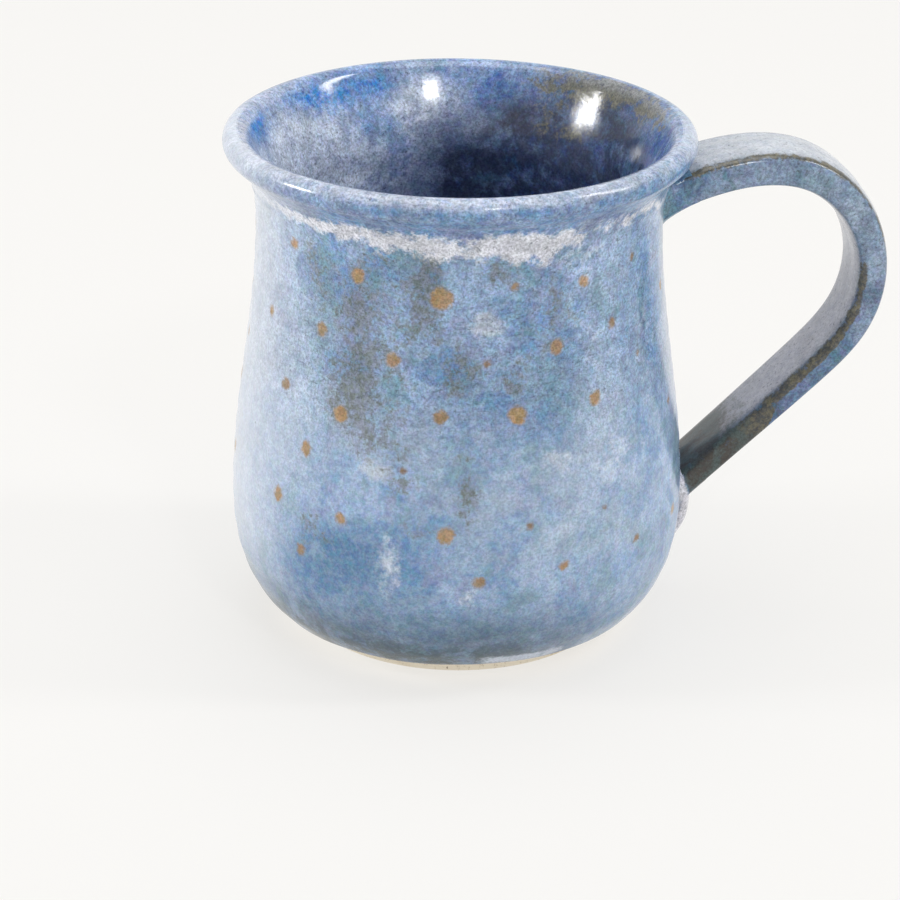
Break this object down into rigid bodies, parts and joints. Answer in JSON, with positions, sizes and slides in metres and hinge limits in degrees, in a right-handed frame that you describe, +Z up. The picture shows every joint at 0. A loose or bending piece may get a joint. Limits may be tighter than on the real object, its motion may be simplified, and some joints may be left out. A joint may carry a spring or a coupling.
{
  "type": "ceramic mug",
  "caption": "Handmade glazed stoneware mug with a rounded belly, flared rim and pulled strap handle.",
  "frame": {"origin": "centre of the flat base that the mug stands on, on the axis of the thrown body", "axes": "+Z up along the axis of the thrown body, +X out through the middle of the handle, +Y across the handle's strap"},
  "size_m": [0.1284, 0.09, 0.1004],
  "materials": {
    "bare_stoneware": "unglazed fired stoneware, dry and cream coloured",
    "outer_glaze": "glossy mottled blue glaze with iron spots",
    "liner_glaze": "glossy mottled blue glaze",
    "handle_clay": "fired stoneware under the glaze",
    "handle_glaze": "glossy blue glaze, breaking olive brown on the edges",
    "upper_joint_glaze": "glossy blue glaze over worked clay",
    "lower_joint_glaze": "glossy pale glaze over worked clay"
  },
  "bodies": {
    "root": {"clay_body": "bare_stoneware", "outer_glaze": "outer_glaze", "liner_glaze": "liner_glaze", "handle_strap": "handle_clay", "handle_glaze": "handle_glaze", "upper_joint": "upper_joint_glaze", "lower_joint": "lower_joint_glaze"}
  },
  "joints": []
}
